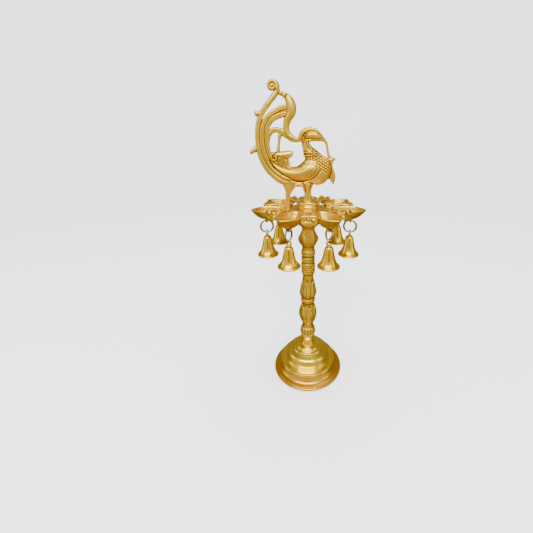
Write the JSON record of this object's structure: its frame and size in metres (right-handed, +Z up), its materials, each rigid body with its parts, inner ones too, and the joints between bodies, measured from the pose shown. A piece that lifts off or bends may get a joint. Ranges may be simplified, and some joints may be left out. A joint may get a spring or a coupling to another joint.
{
  "type": "standing oil lamp",
  "caption": "Brass standing oil lamp with a stepped base, baluster stem, ring of leaf-shaped oil wells, hanging bells and a peacock finial.",
  "frame": {"origin": "on the stem's axis, in the plane of the base's underside", "axes": "+Z up along the stem; the front of the lamp faces -Y and the peacock looks towards +X"},
  "size_m": [0.1524, 0.1486, 0.4318],
  "materials": {
    "polished_brass": "polished",
    "cast_brass": "sand cast, lightly buffed",
    "bell_brass": "polished",
    "aged_brass": "aged, dull"
  },
  "bodies": {
    "stand": {"base": "polished_brass", "lower_stem": "cast_brass", "upper_stem": "cast_brass", "lamp_tray": "cast_brass", "finial_seat": "polished_brass", "peacock_finial": "cast_brass"},
    "ring_body_1": {"bell_ring_1": "aged_brass"},
    "bell_body_1": {"bell_1": "bell_brass"},
    "clapper_body_1": {"clapper_1": "aged_brass"},
    "ring_body_2": {"bell_ring_2": "aged_brass"},
    "bell_body_2": {"bell_2": "bell_brass"},
    "clapper_body_2": {"clapper_2": "aged_brass"},
    "ring_body_3": {"bell_ring_3": "aged_brass"},
    "bell_body_3": {"bell_3": "bell_brass"},
    "clapper_body_3": {"clapper_3": "aged_brass"},
    "ring_body_4": {"bell_ring_4": "aged_brass"},
    "bell_body_4": {"bell_4": "bell_brass"},
    "clapper_body_4": {"clapper_4": "aged_brass"},
    "ring_body_5": {"bell_ring_5": "aged_brass"},
    "bell_body_5": {"bell_5": "bell_brass"},
    "clapper_body_5": {"clapper_5": "aged_brass"},
    "ring_body_6": {"bell_ring_6": "aged_brass"},
    "bell_body_6": {"bell_6": "bell_brass"},
    "clapper_body_6": {"clapper_6": "aged_brass"},
    "ring_body_7": {"bell_ring_7": "aged_brass"},
    "bell_body_7": {"bell_7": "bell_brass"},
    "clapper_body_7": {"clapper_7": "aged_brass"}
  },
  "joints": [
    {"name": "ring_swing_1", "type": "hinge", "parent": "stand", "child": "ring_body_1", "pos_m": [0.02516, -0.05226, 0.2613], "axis": [0.4339, -0.901, 0], "range_deg": [-25, 25]},
    {"name": "bell_swing_1", "type": "hinge", "parent": "ring_body_1", "child": "bell_body_1", "pos_m": [0.02516, -0.05226, 0.2529], "axis": [0.901, 0.4339, 0], "range_deg": [-30, 30]},
    {"name": "clapper_swing_1", "type": "hinge", "parent": "bell_body_1", "child": "clapper_body_1", "pos_m": [0.02516, -0.05226, 0.2362], "axis": [0.4339, -0.901, 0], "range_deg": [-18, 18]},
    {"name": "ring_swing_2", "type": "hinge", "parent": "stand", "child": "ring_body_2", "pos_m": [0.05655, -0.01291, 0.2613], "axis": [0.9749, -0.2225, 0], "range_deg": [-25, 25]},
    {"name": "bell_swing_2", "type": "hinge", "parent": "ring_body_2", "child": "bell_body_2", "pos_m": [0.05655, -0.01291, 0.2529], "axis": [0.2225, 0.9749, 0], "range_deg": [-30, 30]},
    {"name": "clapper_swing_2", "type": "hinge", "parent": "bell_body_2", "child": "clapper_body_2", "pos_m": [0.05655, -0.01291, 0.2362], "axis": [0.9749, -0.2225, 0], "range_deg": [-18, 18]},
    {"name": "ring_swing_3", "type": "hinge", "parent": "stand", "child": "ring_body_3", "pos_m": [0.04535, 0.03616, 0.2613], "axis": [0.7818, 0.6235, 0], "range_deg": [-25, 25]},
    {"name": "bell_swing_3", "type": "hinge", "parent": "ring_body_3", "child": "bell_body_3", "pos_m": [0.04535, 0.03616, 0.2529], "axis": [-0.6235, 0.7818, 0], "range_deg": [-30, 30]},
    {"name": "clapper_swing_3", "type": "hinge", "parent": "bell_body_3", "child": "clapper_body_3", "pos_m": [0.04535, 0.03616, 0.2362], "axis": [0.7818, 0.6235, 0], "range_deg": [-18, 18]},
    {"name": "ring_swing_4", "type": "hinge", "parent": "stand", "child": "ring_body_4", "pos_m": [0, 0.058, 0.2613], "axis": [0, 1, 0], "range_deg": [-25, 25]},
    {"name": "bell_swing_4", "type": "hinge", "parent": "ring_body_4", "child": "bell_body_4", "pos_m": [0, 0.058, 0.2529], "axis": [-1, 0, 0], "range_deg": [-30, 30]},
    {"name": "clapper_swing_4", "type": "hinge", "parent": "bell_body_4", "child": "clapper_body_4", "pos_m": [0, 0.058, 0.2362], "axis": [0, 1, 0], "range_deg": [-18, 18]},
    {"name": "ring_swing_5", "type": "hinge", "parent": "stand", "child": "ring_body_5", "pos_m": [-0.04535, 0.03616, 0.2613], "axis": [-0.7818, 0.6235, 0], "range_deg": [-25, 25]},
    {"name": "bell_swing_5", "type": "hinge", "parent": "ring_body_5", "child": "bell_body_5", "pos_m": [-0.04535, 0.03616, 0.2529], "axis": [-0.6235, -0.7818, 0], "range_deg": [-30, 30]},
    {"name": "clapper_swing_5", "type": "hinge", "parent": "bell_body_5", "child": "clapper_body_5", "pos_m": [-0.04535, 0.03616, 0.2362], "axis": [-0.7818, 0.6235, 0], "range_deg": [-18, 18]},
    {"name": "ring_swing_6", "type": "hinge", "parent": "stand", "child": "ring_body_6", "pos_m": [-0.05655, -0.01291, 0.2613], "axis": [-0.9749, -0.2225, 0], "range_deg": [-25, 25]},
    {"name": "bell_swing_6", "type": "hinge", "parent": "ring_body_6", "child": "bell_body_6", "pos_m": [-0.05655, -0.01291, 0.2529], "axis": [0.2225, -0.9749, 0], "range_deg": [-30, 30]},
    {"name": "clapper_swing_6", "type": "hinge", "parent": "bell_body_6", "child": "clapper_body_6", "pos_m": [-0.05655, -0.01291, 0.2362], "axis": [-0.9749, -0.2225, 0], "range_deg": [-18, 18]},
    {"name": "ring_swing_7", "type": "hinge", "parent": "stand", "child": "ring_body_7", "pos_m": [-0.02516, -0.05226, 0.2613], "axis": [-0.4339, -0.901, 0], "range_deg": [-25, 25]},
    {"name": "bell_swing_7", "type": "hinge", "parent": "ring_body_7", "child": "bell_body_7", "pos_m": [-0.02516, -0.05226, 0.2529], "axis": [0.901, -0.4339, 0], "range_deg": [-30, 30]},
    {"name": "clapper_swing_7", "type": "hinge", "parent": "bell_body_7", "child": "clapper_body_7", "pos_m": [-0.02516, -0.05226, 0.2362], "axis": [-0.4339, -0.901, 0], "range_deg": [-18, 18]}
  ]
}
